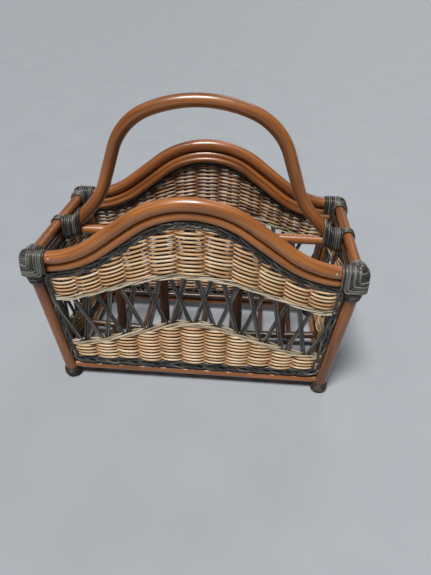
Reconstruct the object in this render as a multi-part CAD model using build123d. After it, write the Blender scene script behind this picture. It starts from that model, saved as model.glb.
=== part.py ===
from build123d import *
import os
from math import asin, atan, cos, degrees, radians, sin, sqrt, tan

# Magazine rack of bent rattan poles with woven wicker panels and a tall bent handle.
# Millimetres. The origin is on the floor in the middle of the rack: X along its length,
# Y across it (front is -Y), Z up.

os.makedirs("parts", exist_ok=True)

# ---- driving dimensions ----------------------------------------------------------------
LENGTH_TOP = 460.0  # between the post axes at corner height, along X
LENGTH_BOTTOM = 401.0  # between the post axes at the floor, along X
WIDTH_TOP = 240.0  # between the post axes at corner height, along Y
WIDTH_BOTTOM = 210.0  # between the post axes at the floor, along Y
CORNER_Z = 224.0  # height at which the top length and width are taken

POST_D = 18.0
FOOT_D = 25.0
FOOT_HEIGHT = 14.0
FOOT_ROUNDING = 5.0
FOOT_SOLE = 4.0  # thickness of the wound cap below the post's end

TOP_POLE_D = 19.0
TOP_POLE_APEX = 320.0  # axis of the top pole at the middle of the hump
TOP_POLE_OVERHANG = 8.0  # end of the pole past the post's axis
HUMP_RISE = 93.0
HUMP_HALF_RUN = 215.0
HUMP_SLOPE = 37.0  # steepest part of the hump, in degrees
HUMP_CROWN_R = 140.0

SECOND_POLE_D = 13.0
SECOND_POLE_DROP = 16.2  # below the top pole, axis to axis
INNER_POLE_D = 9.5
INNER_POLE_DROP = 22.0
INNER_POLE_Z = 33.0  # axis of the inner pole along the bottom

END_RAIL_D = 16.5
END_SECOND_RAIL_D = 13.0
END_SECOND_RAIL_INSET = 2.0
BOTTOM_RAIL_D = 12.0
BOTTOM_RAIL_Z = 20.0
BOTTOM_RAIL_INSET = 3.0  # inside the plane of the woven panel

MID_RAIL_D = 15.5
MID_RAIL_Z = 215.0
DIVIDER_BAR_D = 12.5
DIVIDER_BAR_Z = 20.0
DIVIDER_BAR_BOW = 8.0  # the bar's ends stand this much higher than its middle
DIVIDER_POST_D = 16.5
DIVIDER_POST_X = (-141.0, -63.5, 63.5, 141.0)
CROSS_POLE_D = 8.0
CROSS_POLE_Z = 18.0
CROSS_POLE_STEP = 52.5
CROSS_POLE_COUNT = 7

HANDLE_D = 19.5
HANDLE_APEX = 420.0
HANDLE_TOP_R = 200.0
HANDLE_TOP_TURN = 22.0  # half of the crown arc, in degrees
HANDLE_SHOULDER_R = 95.0
HANDLE_SIDE_SLOPE = 71.0
HANDLE_SIDE_RUN = 55.0
HANDLE_FOOT_R = 110.0
HANDLE_FOOT_SLOPE = 47.0
HANDLE_FOOT_RUN = 56.0

WEAVE_THICKNESS = 9.0
BRAID_THICKNESS = 11.0
BRAID_WIDTH = 11.0
BRAID_BOTTOM_Z = 30.0
BRAID_BOTTOM_WIDTH = 18.0
TWINE_WIDTH = 8.0
UPPER_ARCH_TOP = 207.0  # lower edge of the upper weave at mid length
UPPER_ARCH_RISE = 51.5
UPPER_ARCH_CROWN_R = 230.0
LOWER_ARCH_TOP = 127.0  # upper edge of the lower weave at mid length
LOWER_ARCH_RISE = 51.0
LOWER_ARCH_CROWN_R = 130.0
ARCH_SLOPE = 20.0
UPPER_ARCH_HALF_RUN = 204.0
LOWER_ARCH_HALF_RUN = 190.0

STAKE_STEP = 35.5  # between stakes at the top of the lower weave
STAKE_LEG_WIDTH = 7.0  # two rods side by side
STAKE_ROD_D = 3.4
STAKE_LEG_LEAN = 26.0  # sideways travel of a leg across the open band
STAKE_FOOT_GAP = 3.0
SIDE_STAKES = 5  # on each side of the middle one
END_STAKES = 2

BINDING_THICKNESS = 3.0
BINDING_LENGTH = 26.0  # reach along the poles from a corner
NAIL_HEAD_R = 2.2
NAIL_X = 198.0
FAR = 300.0  # beyond the rack in every direction
SPECK = 5.0  # an offcut below this volume is dropped

# ---- shape of the frame ----------------------------------------------------------------
END_SLOPE = (LENGTH_TOP - LENGTH_BOTTOM) / 2 / CORNER_Z
SIDE_SLOPE = (WIDTH_TOP - WIDTH_BOTTOM) / 2 / CORNER_Z
SIDE_LEAN = atan(SIDE_SLOPE)
END_LEAN = atan(END_SLOPE)
FRONT = Plane((0, -WIDTH_BOTTOM / 2, 0), x_dir=(1, 0, 0), z_dir=(0, -cos(SIDE_LEAN), -sin(SIDE_LEAN)))
LEFT = Plane((-LENGTH_BOTTOM / 2, 0, 0), x_dir=(0, -1, 0), z_dir=(-cos(END_LEAN), 0, -sin(END_LEAN)))
SIDE_RISE = cos(SIDE_LEAN)  # height gained per millimetre along a side panel
END_RISE = cos(END_LEAN)
TURNED = Rot(0, 0, 180)  # front to back, left to right
INNER_POLE_INSET = (BRAID_THICKNESS + INNER_POLE_D) / 2  # the inner poles lie against the braid


class Arch:
    """A symmetric hump: hollow shoulder arc, straight flank, crown arc, and the same mirrored."""

    def __init__(self, top, rise, half_run, slope, crown_radius):
        c = cos(radians(slope))
        s = sin(radians(slope))
        self.top = top
        self.rise = rise
        self.half_run = half_run
        self.slope = slope
        self.crown = crown_radius
        self.shoulder = (half_run * s - rise * c) / (1 - c) - crown_radius
        self.flank = (rise - (self.crown + self.shoulder) * (1 - c)) / s

    def height(self, x):
        """Height of the arch at a distance along the panel."""
        crown_reach = self.crown * sin(radians(self.slope))
        crown_drop = self.crown * (1 - cos(radians(self.slope)))
        shoulder_reach = self.shoulder * sin(radians(self.slope))
        from_end = self.half_run - abs(x)
        if abs(x) < crown_reach:
            return self.top - self.crown + sqrt(self.crown**2 - x**2)
        if from_end > shoulder_reach:
            return self.top - crown_drop - (abs(x) - crown_reach) * tan(radians(self.slope))
        if from_end > 0:
            return self.top - self.rise + self.shoulder - sqrt(self.shoulder**2 - from_end**2)
        return self.top - self.rise

    def edges(self, drop, half_length):
        """Edges of the arch moved in by drop, with level tails out to half_length."""
        tail = half_length - self.half_run
        rising = [(self.shoulder + drop, self.slope), (self.flank,)]
        falling = [(self.flank,), (self.shoulder + drop, self.slope)]
        steps = [(tail,)] + rising + [(self.crown - drop, -2 * self.slope)] + falling + [(tail,)]
        return walk((-half_length, self.top - self.rise - drop), 0.0, steps)


def walk(start, heading, steps):
    """Straight runs (length,) and tangent arcs (radius, turn in degrees), one after the other."""
    edges = []
    here = Vector(*start)
    for step in steps:
        forward = Vector(cos(radians(heading)), sin(radians(heading)))
        if len(step) == 1:
            there = here + forward * step[0]
            edges.append(Edge.make_line(here, there))
        else:
            radius, turn = step
            left = Vector(-forward.Y, forward.X)
            centre = here + left * (radius if turn > 0 else -radius)
            middle = centre + (here - centre).rotate(Axis.Z, turn / 2)
            there = centre + (here - centre).rotate(Axis.Z, turn)
            edges.append(Edge.make_three_point_arc(here, middle, there))
            heading += turn
        here = there
    return edges


def swept(plane, edges, diameter):
    """A round pole along a path drawn in a plane."""
    path = plane * Wire(edges)
    section = Plane(path @ 0, z_dir=path % 0) * Circle(diameter / 2)
    return sweep(section, path=path)


def rod(start, end, diameter):
    """A straight round pole between two points."""
    axis = Vector(*end) - Vector(*start)
    bottom = (Align.CENTER, Align.CENTER, Align.MIN)
    return Plane(Vector(*start), z_dir=axis) * Cylinder(diameter / 2, axis.length, align=bottom)


def cope(piece, *neighbours):
    """The piece cut back against its neighbours, without the offcuts."""
    for neighbour in neighbours:
        piece = piece - neighbour
    return max(piece.solids(), key=lambda solid: solid.volume)


def pieces_left(piece, *neighbours):
    """All solids that stay when the neighbours are cut away, without specks."""
    for neighbour in neighbours:
        piece = piece - neighbour
    return Compound([solid for solid in piece.solids() if solid.volume > SPECK])


def post_point(sign_x, sign_y, z):
    """A point on a post's axis."""
    return (sign_x * (LENGTH_BOTTOM / 2 + END_SLOPE * z), sign_y * (WIDTH_BOTTOM / 2 + SIDE_SLOPE * z), z)


def stadium(centre, normal, width, height, depth):
    """An upright oblong bar: width across, height up, depth along the normal."""
    plane = Plane(centre, x_dir=(0, 0, 1), z_dir=normal)
    return extrude(plane * SlotOverall(height, width), amount=depth)


# ---- poles -----------------------------------------------------------------------------
HUMP = Arch(TOP_POLE_APEX / SIDE_RISE, HUMP_RISE, HUMP_HALF_RUN, HUMP_SLOPE, HUMP_CROWN_R)
TOP_POLE_Z = TOP_POLE_APEX - HUMP_RISE


def make_posts():
    posts = {}
    for end, sign_x in (("left", -1), ("right", 1)):
        for side, sign_y in (("front", -1), ("back", 1)):
            low = post_point(sign_x, sign_y, FOOT_SOLE)
            high = post_point(sign_x, sign_y, TOP_POLE_Z)
            posts[f"{side}_{end}"] = (rod(low, high, POST_D), sign_x, sign_y)
    return posts


def make_foot(sign_x, sign_y, post):
    x, y, _ = post_point(sign_x, sign_y, FOOT_HEIGHT / 2)
    cap = Pos(x, y, FOOT_HEIGHT / 2) * Cylinder(FOOT_D / 2, FOOT_HEIGHT)
    cap = fillet(cap.edges().filter_by(GeomType.CIRCLE), FOOT_ROUNDING)
    return cope(cap, post)


def make_side_pole(drop, diameter, inset, half_length):
    """A humped pole of the front side."""
    plane = FRONT.offset(-inset)
    return swept(plane, HUMP.edges(drop, half_length), diameter)


def make_inner_side_pole():
    """A thin upright pole inside the front left post, from the bottom rail to the inner hump."""
    reach = LENGTH_BOTTOM / 2 - (POST_D + INNER_POLE_D) / 2 - 1
    low = Vector(-reach - END_SLOPE * BOTTOM_RAIL_Z, BOTTOM_RAIL_Z)
    high = Vector(-reach - END_SLOPE * TOP_POLE_Z, TOP_POLE_Z - INNER_POLE_DROP)
    line = FRONT.offset(-INNER_POLE_INSET)
    return rod(line.from_local_coords(low), line.from_local_coords(high), INNER_POLE_D)


def make_handle():
    side = HANDLE_SIDE_SLOPE - HANDLE_FOOT_SLOPE
    shoulder = HANDLE_SIDE_SLOPE - HANDLE_TOP_TURN
    up = [(HANDLE_FOOT_RUN,), (HANDLE_FOOT_R, side), (HANDLE_SIDE_RUN,), (HANDLE_SHOULDER_R, -shoulder)]
    down = [(HANDLE_SHOULDER_R, -shoulder), (HANDLE_SIDE_RUN,), (HANDLE_FOOT_R, side), (HANDLE_FOOT_RUN,)]
    edges = walk((0, 0), HANDLE_FOOT_SLOPE, up + [(HANDLE_TOP_R, -2 * HANDLE_TOP_TURN)] + down)
    bounds = Wire(edges).bounding_box()
    shift = Pos(-(bounds.min.X + bounds.max.X) / 2, HANDLE_APEX - bounds.max.Y, 0)
    return swept(Plane.XZ, [shift * edge for edge in edges], HANDLE_D)


def make_divider_bar():
    half = LENGTH_BOTTOM / 2 + 2
    radius = (half**2 + DIVIDER_BAR_BOW**2) / (2 * DIVIDER_BAR_BOW)
    turn = degrees(asin(half / radius))
    start = (-half, DIVIDER_BAR_Z + DIVIDER_BAR_BOW)
    return swept(Plane.XZ, walk(start, -turn, [(radius, 2 * turn)]), DIVIDER_BAR_D)


def make_cross_poles():
    half = WIDTH_BOTTOM / 2
    poles = []
    for index in range(CROSS_POLE_COUNT):
        x = (index - (CROSS_POLE_COUNT - 1) / 2) * CROSS_POLE_STEP
        poles.append(rod((x, -half, CROSS_POLE_Z), (x, half, CROSS_POLE_Z), CROSS_POLE_D))
    return Compound(poles)


# ---- woven panels, drawn flat in the panel's own plane ---------------------------------
def slab(edges, thickness):
    """A flat piece with the given outline."""
    return extrude(Face(Wire(edges)), amount=thickness / 2, both=True)


def below(curve, thickness):
    """Everything below a curve that runs from one side to the other."""
    start = curve[0] @ 0
    end = curve[-1] @ 1
    low_left = Vector(start.X, -10)
    low_right = Vector(end.X, -10)
    outline = curve + [Edge.make_line(end, low_right), Edge.make_line(low_right, low_left)]
    return slab(outline + [Edge.make_line(low_left, start)], thickness)


def tapered(half_bottom, slope, low, thickness):
    """A trapezoid standing on the height low, its sides leaning out by slope."""
    high = TOP_POLE_APEX
    corners = [
        Vector(-half_bottom - slope * low, low),
        Vector(half_bottom + slope * low, low),
        Vector(half_bottom + slope * high, high),
        Vector(-half_bottom - slope * high, high),
    ]
    edges = [Edge.make_line(corners[i - 1], corners[i]) for i in range(len(corners))]
    return slab(edges, thickness)


def level(height):
    """A straight level edge from side to side."""
    return [Edge.make_line(Vector(-FAR, height), Vector(FAR, height))]


def make_stakes(open_band, low_at, high_at, half_count):
    """Pairs of rods that fan out from each stake and cross their neighbours in the open band."""
    legs = []
    for index in range(-half_count, half_count + 1):
        x = index * STAKE_STEP
        for side in (-1, 1):
            foot = Vector(x + side * STAKE_FOOT_GAP, low_at(x))
            head = Vector(x + side * STAKE_LEG_LEAN, high_at(x + side * STAKE_LEG_LEAN))
            along = head - foot
            middle = (foot + head) * 0.5
            turn = degrees(atan(along.X / along.Y))
            place = Pos(middle.X, middle.Y, side * STAKE_ROD_D / 2) * Rot(0, 0, -turn)
            legs.append(place * Box(STAKE_LEG_WIDTH, along.length + 2 * TWINE_WIDTH, STAKE_ROD_D))
    cut = [open_band & leg for leg in legs]
    solids = [solid for leg in cut if leg is not None for solid in leg.solids()]
    return Compound([solid for solid in solids if solid.volume > SPECK])


def make_panel(outer_top, inner_top, upper, lower, half_bottom, slope, stakes):
    """Braid, two weaves, two twined bands and the stakes of one panel, in its plane."""
    inner_half = half_bottom - BRAID_WIDTH
    outer = below(outer_top, BRAID_THICKNESS) & tapered(half_bottom, slope, BRAID_BOTTOM_Z, BRAID_THICKNESS)
    field_low = BRAID_BOTTOM_Z + BRAID_BOTTOM_WIDTH
    hole = below(inner_top, FAR) & tapered(inner_half, slope, field_low, FAR)
    inner = below(inner_top, WEAVE_THICKNESS) & tapered(inner_half, slope, field_low, WEAVE_THICKNESS)
    upper_low, upper_high = upper
    lower_low, lower_high = lower
    open_band = (inner & below(upper_low, FAR)) - below(lower_high, FAR)
    return {
        "border_braid": outer - hole,
        "upper_weave": inner - below(upper_high, FAR),
        "lower_weave": inner & below(lower_low, FAR),
        "twined_bands": Compound(
            ((inner & below(upper_high, FAR)) - below(upper_low, FAR)).solids()
            + ((inner & below(lower_high, FAR)) - below(lower_low, FAR)).solids()
        ),
        "stakes": make_stakes(open_band, *stakes),
    }


def make_side_panel():
    upper = Arch(UPPER_ARCH_TOP, UPPER_ARCH_RISE, UPPER_ARCH_HALF_RUN, ARCH_SLOPE, UPPER_ARCH_CROWN_R)
    lower = Arch(LOWER_ARCH_TOP, LOWER_ARCH_RISE, LOWER_ARCH_HALF_RUN, ARCH_SLOPE, LOWER_ARCH_CROWN_R)
    outer_drop = SECOND_POLE_DROP + SECOND_POLE_D / 2
    return make_panel(
        HUMP.edges(outer_drop, FAR),
        HUMP.edges(outer_drop + BRAID_WIDTH, FAR),
        (upper.edges(0, FAR), upper.edges(-TWINE_WIDTH, FAR)),
        (lower.edges(TWINE_WIDTH, FAR), lower.edges(0, FAR)),
        (LENGTH_BOTTOM - POST_D) / 2,
        END_SLOPE,
        (lower.height, upper.height, SIDE_STAKES),
    )


def make_end_panel(top):
    upper_low = UPPER_ARCH_TOP - UPPER_ARCH_RISE
    lower_high = LOWER_ARCH_TOP - LOWER_ARCH_RISE
    return make_panel(
        level(top),
        level(top - BRAID_WIDTH),
        (level(upper_low), level(upper_low + TWINE_WIDTH)),
        (level(lower_high - TWINE_WIDTH), level(lower_high)),
        (WIDTH_BOTTOM - POST_D) / 2,
        SIDE_SLOPE,
        (lambda _: lower_high, lambda _: upper_low, END_STAKES),
    )


# ---- bindings and nails ----------------------------------------------------------------
def make_corner_binding(members):
    """Woven cap of the front left corner, round the side poles, the end rail and the post."""
    wall = BINDING_THICKNESS
    corner = Vector(*post_point(-1, -1, TOP_POLE_Z))
    height = TOP_POLE_D / 2 + SECOND_POLE_DROP + SECOND_POLE_D / 2 + 2 * wall
    middle_z = TOP_POLE_Z + TOP_POLE_D / 2 + wall - height / 2
    outside = Vector(corner.X - TOP_POLE_OVERHANG - wall, corner.Y, middle_z)
    along_poles = stadium(outside, (1, 0, 0), TOP_POLE_D + 2 * wall, height, BINDING_LENGTH + 11)
    rail_end = (corner.X, corner.Y + BINDING_LENGTH, CORNER_Z)
    round_rail = rod(Vector(corner.X, corner.Y, CORNER_Z), rail_end, END_RAIL_D + 2 * wall)
    round_post = rod(post_point(-1, -1, 190), post_point(-1, -1, 222), POST_D + 2 * wall)
    shell = along_poles + round_rail + round_post
    return cope(shell, *members)


def make_centre_binding(members):
    """Coil round the mid rail and the handle's left foot, with a strap over the end rails."""
    wall = BINDING_THICKNESS
    low = MID_RAIL_Z - MID_RAIL_D / 2 - wall
    width = HANDLE_D + 2 * wall
    outer_x = LENGTH_TOP / 2 - 11
    inner_slot = Plane((-192, 0, low + 23), x_dir=(0, 0, 1), z_dir=(-1, 0, 0)) * SlotOverall(46, width)
    outer_slot = Plane((-outer_x, 0, low + 15), x_dir=(0, 0, 1), z_dir=(-1, 0, 0)) * SlotOverall(30, width)
    coil = loft([inner_slot, outer_slot])
    strap_low = CORNER_Z - END_RAIL_D / 2 - END_SECOND_RAIL_D - wall
    strap_high = CORNER_Z + END_RAIL_D / 2 + wall
    centre = (-LENGTH_TOP / 2, -7, (strap_low + strap_high) / 2)
    strap = stadium(centre, (0, 1, 0), END_RAIL_D + 2 * wall, strap_high - strap_low, 14)
    return cope(coil + strap, *members)


def make_nails(top_pole):
    """Round nail heads on the outer face of the top pole, one near each end."""
    out = TOP_POLE_D / 2 * 0.9
    heads = []
    for x in (-NAIL_X, NAIL_X):
        height = HUMP.top - HUMP.rise + (3.0 if abs(x) < HUMP_HALF_RUN else 0.0)
        place = FRONT.from_local_coords(Vector(x, height, out))
        heads.append(cope(Pos(place) * Sphere(NAIL_HEAD_R), top_pole))
    return heads


# ---- assembly --------------------------------------------------------------------------
def build():
    nodes = {}
    overhang = LENGTH_TOP / 2 + TOP_POLE_OVERHANG
    top_pole = make_side_pole(0, TOP_POLE_D, 0, overhang)
    top_poles = {"front": top_pole, "back": TURNED * top_pole}
    posts = make_posts()
    for place, (post, sign_x, sign_y) in posts.items():
        nodes[f"{place}_foot_cap"] = make_foot(sign_x, sign_y, post)
        side = place.split("_")[0]
        nodes[f"{place}_post"] = cope(post, top_poles[side])
    post_solids = [nodes[f"{place}_post"] for place in posts]
    front_posts = [nodes["front_left_post"], nodes["front_right_post"]]

    second_uncut = make_side_pole(SECOND_POLE_DROP, SECOND_POLE_D, 0, LENGTH_TOP / 2 - 1)
    second = cope(second_uncut, *front_posts)
    inner_half = LENGTH_BOTTOM / 2 - POST_D / 2 + END_SLOPE * (HUMP.top - HUMP.rise - INNER_POLE_DROP)
    inner_top = make_side_pole(INNER_POLE_DROP, INNER_POLE_D, INNER_POLE_INSET, inner_half)
    rail_line = FRONT.offset(-BOTTOM_RAIL_INSET)
    half = LENGTH_BOTTOM / 2
    rail = rod(
        rail_line.from_local_coords(Vector(-half, BOTTOM_RAIL_Z)),
        rail_line.from_local_coords(Vector(half, BOTTOM_RAIL_Z)),
        BOTTOM_RAIL_D,
    )
    bottom_rail = cope(rail, *front_posts)
    inner_line = FRONT.offset(-INNER_POLE_INSET)
    inner_reach = half - POST_D / 2 + END_SLOPE * INNER_POLE_Z
    inner_bottom = rod(
        inner_line.from_local_coords(Vector(-inner_reach, INNER_POLE_Z)),
        inner_line.from_local_coords(Vector(inner_reach, INNER_POLE_Z)),
        INNER_POLE_D,
    )
    inner_bottom = cope(inner_bottom, bottom_rail, *front_posts)
    upright = cope(make_inner_side_pole(), inner_bottom, inner_top, bottom_rail)
    uprights = [upright, *mirror(upright, about=Plane.YZ).solids()]
    nodes["inner_side_poles"] = Compound(uprights + [TURNED * solid for solid in uprights])
    side_group = {
        "top_pole": top_pole,
        "second_pole": second,
        "inner_top_pole": inner_top,
        "inner_bottom_pole": inner_bottom,
        "bottom_rail": bottom_rail,
    }
    for name, solid in side_group.items():
        nodes[f"front_{name}"] = solid
        nodes[f"back_{name}"] = TURNED * solid

    left_posts = [nodes["front_left_post"], nodes["back_left_post"]]
    rail_level = CORNER_Z / END_RISE
    end_rail_uncut = rod(
        LEFT.from_local_coords(Vector(-WIDTH_TOP / 2, rail_level)),
        LEFT.from_local_coords(Vector(WIDTH_TOP / 2, rail_level)),
        END_RAIL_D,
    )
    end_rail = cope(end_rail_uncut, *top_poles.values(), *left_posts)
    second_level = rail_level - (END_RAIL_D + END_SECOND_RAIL_D) / 2
    second_line = LEFT.offset(-END_SECOND_RAIL_INSET)
    end_second_uncut = rod(
        second_line.from_local_coords(Vector(-WIDTH_TOP / 2, second_level)),
        second_line.from_local_coords(Vector(WIDTH_TOP / 2, second_level)),
        END_SECOND_RAIL_D,
    )
    second_poles = [nodes["front_second_pole"], nodes["back_second_pole"]]
    end_second = cope(end_second_uncut, end_rail, *left_posts, *second_poles)
    end_bottom = rod(
        LEFT.from_local_coords(Vector(-WIDTH_BOTTOM / 2, BOTTOM_RAIL_Z)),
        LEFT.from_local_coords(Vector(WIDTH_BOTTOM / 2, BOTTOM_RAIL_Z)),
        BOTTOM_RAIL_D,
    )
    end_bottom = cope(end_bottom, *left_posts, nodes["front_bottom_rail"], nodes["back_bottom_rail"])
    for name, solid in {
        "end_rail": end_rail,
        "end_second_rail": end_second,
        "bottom_rail": end_bottom,
    }.items():
        nodes[f"left_{name}"] = solid
        nodes[f"right_{name}"] = TURNED * solid

    end_rails = [nodes[f"{end}_{name}"] for end in ("left", "right") for name in ("end_rail", "end_second_rail")]
    reach = LENGTH_TOP / 2
    mid_rail = cope(rod((-reach, 0, MID_RAIL_Z), (reach, 0, MID_RAIL_Z), MID_RAIL_D), *end_rails)
    nodes["mid_rail"] = mid_rail
    nodes["handle"] = cope(make_handle(), mid_rail, *end_rails)
    cross_poles = pieces_left(make_cross_poles(), nodes["front_bottom_rail"], nodes["back_bottom_rail"])
    nodes["bottom_cross_poles"] = cross_poles
    bar = cope(make_divider_bar(), nodes["left_bottom_rail"], nodes["right_bottom_rail"], cross_poles)
    nodes["divider_bottom_bar"] = bar
    names = ("left_outer", "left_inner", "right_inner", "right_outer")
    for name, x in zip(names, DIVIDER_POST_X):
        upright = rod((x, 0, DIVIDER_BAR_Z), (x, 0, MID_RAIL_Z), DIVIDER_POST_D)
        nodes[f"{name}_divider_post"] = cope(upright, mid_rail, bar, cross_poles)

    front_left_post = posts["front_left"][0]
    corner_members = [
        front_left_post,
        top_pole,
        second_uncut,
        end_rail_uncut,
        end_second_uncut,
        inner_top,
    ]
    front_left = make_corner_binding(corner_members)
    back_left = mirror(front_left, about=Plane.XZ).solids()[0]
    centre = make_centre_binding([mid_rail, nodes["handle"], end_rail, end_second])
    bindings = {
        "front_left_corner_binding": front_left,
        "back_left_corner_binding": back_left,
        "front_right_corner_binding": TURNED * back_left,
        "back_right_corner_binding": TURNED * front_left,
        "left_centre_binding": centre,
        "right_centre_binding": TURNED * centre,
    }
    nodes.update(bindings)
    nails = make_nails(top_pole)
    nodes["top_pole_nails"] = Compound(nails + [TURNED * nail for nail in nails])

    panels = {"front": (FRONT, make_side_panel())}
    end_top = second_level - END_SECOND_RAIL_D / 2
    panels["left"] = (LEFT, make_end_panel(end_top))
    opposite = {"front": "back", "left": "right"}
    braid_neighbours = [*post_solids, *bindings.values(), bar]
    for side, (plane, pieces) in panels.items():
        for name, flat in pieces.items():
            placed = plane * flat
            if name == "border_braid":
                placed = pieces_left(placed, *braid_neighbours)
            nodes[f"{side}_{name}"] = placed
            nodes[f"{opposite[side]}_{name}"] = TURNED * placed
    return nodes


for node, shape in sorted(build().items()):
    export_step(shape, f"parts/{node}.step")
    print(node, len(shape.solids()), round(shape.volume))
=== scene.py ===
# %% [markdown]
# # A rattan magazine rack, pole by pole and rod by rod
# The rack is a frame of bent rattan poles with four wicker panels woven into it. Everything on it is
# something long and round that follows a line: a pole, a weaver, a stake, a strand of a binding. So this
# lesson needs one shape, the tube along a path, and the craft is in the paths.

import math

import bpy
import numpy as np
from mathutils import Matrix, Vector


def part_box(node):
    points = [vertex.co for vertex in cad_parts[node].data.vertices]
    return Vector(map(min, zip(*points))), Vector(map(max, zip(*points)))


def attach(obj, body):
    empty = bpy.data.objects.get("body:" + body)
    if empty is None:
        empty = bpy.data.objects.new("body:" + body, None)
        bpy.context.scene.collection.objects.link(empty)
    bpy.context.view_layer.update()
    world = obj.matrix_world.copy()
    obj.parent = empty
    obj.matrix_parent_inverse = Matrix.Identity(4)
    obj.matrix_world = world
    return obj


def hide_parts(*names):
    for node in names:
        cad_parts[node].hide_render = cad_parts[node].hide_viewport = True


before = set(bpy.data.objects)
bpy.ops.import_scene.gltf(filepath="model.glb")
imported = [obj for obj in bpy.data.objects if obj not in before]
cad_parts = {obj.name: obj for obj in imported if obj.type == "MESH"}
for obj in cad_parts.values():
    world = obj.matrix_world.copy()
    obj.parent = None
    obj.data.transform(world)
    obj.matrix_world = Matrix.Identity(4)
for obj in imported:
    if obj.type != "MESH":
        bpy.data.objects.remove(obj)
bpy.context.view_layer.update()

# %% [markdown]
# ## The rack's own lines
# The four panels lean outwards, so each gets its own flat drawing board: u runs along the panel, v up it
# and w out of it. The long sides have a hump. One formula gives every curve on them: a crown circle, a
# straight flank, a hollow shoulder circle and a level tail, and a parallel curve only changes the radii.

# %% Sizes of the frame, in metres
FLOOR_HALF = np.array([0.2005, 0.105])  # the posts' axes at the floor, along X and Y
CORNER_HALF = np.array([0.230, 0.120])  # the same at corner height
CORNER_Z = 0.224
SLOPES = (CORNER_HALF - FLOOR_HALF) / CORNER_Z
POST_R = 0.009
TOP_POLE_R = 0.0095
SECOND_POLE_R = 0.0067
INNER_POLE_R = 0.00475
TOP_POLE_Z = 0.227  # the top pole's axis at its level ends
SECOND_DROP = 0.0159
INNER_DROP = 0.022
INNER_INSET = 0.01025
MID_RAIL_Z = 0.215
MID_RAIL_R = 0.00775
BOTTOM_POLE_Z = 0.020
BOTTOM_POLE_R = 0.006
END_TOP_R = 0.00825
END_SECOND_R = 0.0065
END_SECOND_X = 0.2261
END_SECOND_Z = 0.2096
DIVIDER_R = 0.00825
CROSS_POLE_R = 0.004
HANDLE_R = 0.00975

lowest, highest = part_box("front_top_pole")
print("top pole reaches", round(highest.z, 4), "its axis", round(highest.z - TOP_POLE_R, 4))


# %% Drawing boards of the four panels
def board(outward, lean, half):
    """Origin and the directions along, up and out of a panel that leans by lean towards outward."""
    rise = 1 / math.sqrt(1 + lean**2)
    up = np.array([outward[0] * lean, outward[1] * lean, 1.0]) * rise
    along = np.cross([0.0, 0.0, 1.0], outward)
    return np.array(outward) * half, along, up, np.cross(along, up)


BOARDS = {
    "front": board((0.0, -1.0, 0.0), SLOPES[1], FLOOR_HALF[1]),
    "back": board((0.0, 1.0, 0.0), SLOPES[1], FLOOR_HALF[1]),
    "left": board((-1.0, 0.0, 0.0), SLOPES[0], FLOOR_HALF[0]),
    "right": board((1.0, 0.0, 0.0), SLOPES[0], FLOOR_HALF[0]),
}


def lay(side, u, v, w):
    """Points of a panel's drawing in the rack: origin + u * along + v * up + w * out."""
    origin, along, up, out = BOARDS[side]
    u, v, w = np.broadcast_arrays(u, v, w)
    return origin + u[..., None] * along + v[..., None] * up + w[..., None] * out


for side, (origin, along, up, out) in BOARDS.items():
    print(side, "along", along, "out", np.round(out, 3))


# %% Humps
def hump(top, rise, half_run, slope, crown):
    """A hump's numbers: its height, fall, half length, steepest slope in degrees and crown radius."""
    s = math.sin(math.radians(slope))
    c = math.cos(math.radians(slope))
    shoulder = (half_run * s - rise * c) / (1 - c) - crown
    return {"top": top, "rise": rise, "run": half_run, "s": s, "c": c, "crown": crown, "shoulder": shoulder}


def height(curve, u, drop=0.0):
    """Height of a hump at u, moved in by drop: circle, straight line, hollow circle, level."""
    if curve["rise"] == 0:
        return np.full(np.shape(u), curve["top"] - drop)
    x = np.abs(u)
    crown = curve["crown"] - drop
    shoulder = curve["shoulder"] + drop
    top = curve["top"] - drop
    from_end = np.clip(curve["run"] - x, 0, None)
    over = top - crown + np.sqrt(np.clip(crown**2 - x**2, 0, None))
    flank = top - crown * (1 - curve["c"]) - (x - crown * curve["s"]) * curve["s"] / curve["c"]
    hollow = top - curve["rise"] + shoulder - np.sqrt(np.clip(shoulder**2 - from_end**2, 0, None))
    on_crown = x < crown * curve["s"]
    on_flank = from_end > shoulder * curve["s"]
    return np.where(on_crown, over, np.where(on_flank, flank, hollow))


SIDE_RISE = BOARDS["front"][2][2]
SIDE_HUMP = hump(0.320 / SIDE_RISE, 0.093, 0.215, 37.0, 0.140)
UPPER_ARCH = hump(0.207, 0.0515, 0.204, 20.0, 0.230)
LOWER_ARCH = hump(0.127, 0.051, 0.190, 20.0, 0.130)
END_TOP = hump(0.2045, 0.0, 0.1, 20.0, 0.1)
END_UPPER = hump(0.1555, 0.0, 0.1, 20.0, 0.1)
END_LOWER = hump(0.076, 0.0, 0.1, 20.0, 0.1)
hump_top, hump_end = height(SIDE_HUMP, np.array([0.0, CORNER_HALF[0]]))
print("hump falls from", round(float(hump_top), 4), "to", round(float(hump_end), 4))

# %% [markdown]
# ## One tube for everything
# A real rod is a round section carried along a line. The section's first direction is kept near a chosen
# "across" direction, such as the panel's outward one, so the tube never twists. Many rods with the same
# number of points become one mesh at once. Each corner gets a UV: metres along the rod, and the turn
# round it, and each rod gets one random tone, so that the materials can tell the rods apart.

# %% Tubes along paths
RNG = np.random.default_rng(7)


def unit(vectors):
    """Each vector divided by its length."""
    return vectors / np.maximum(np.linalg.norm(vectors, axis=-1, keepdims=True), 1e-9)


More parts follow.
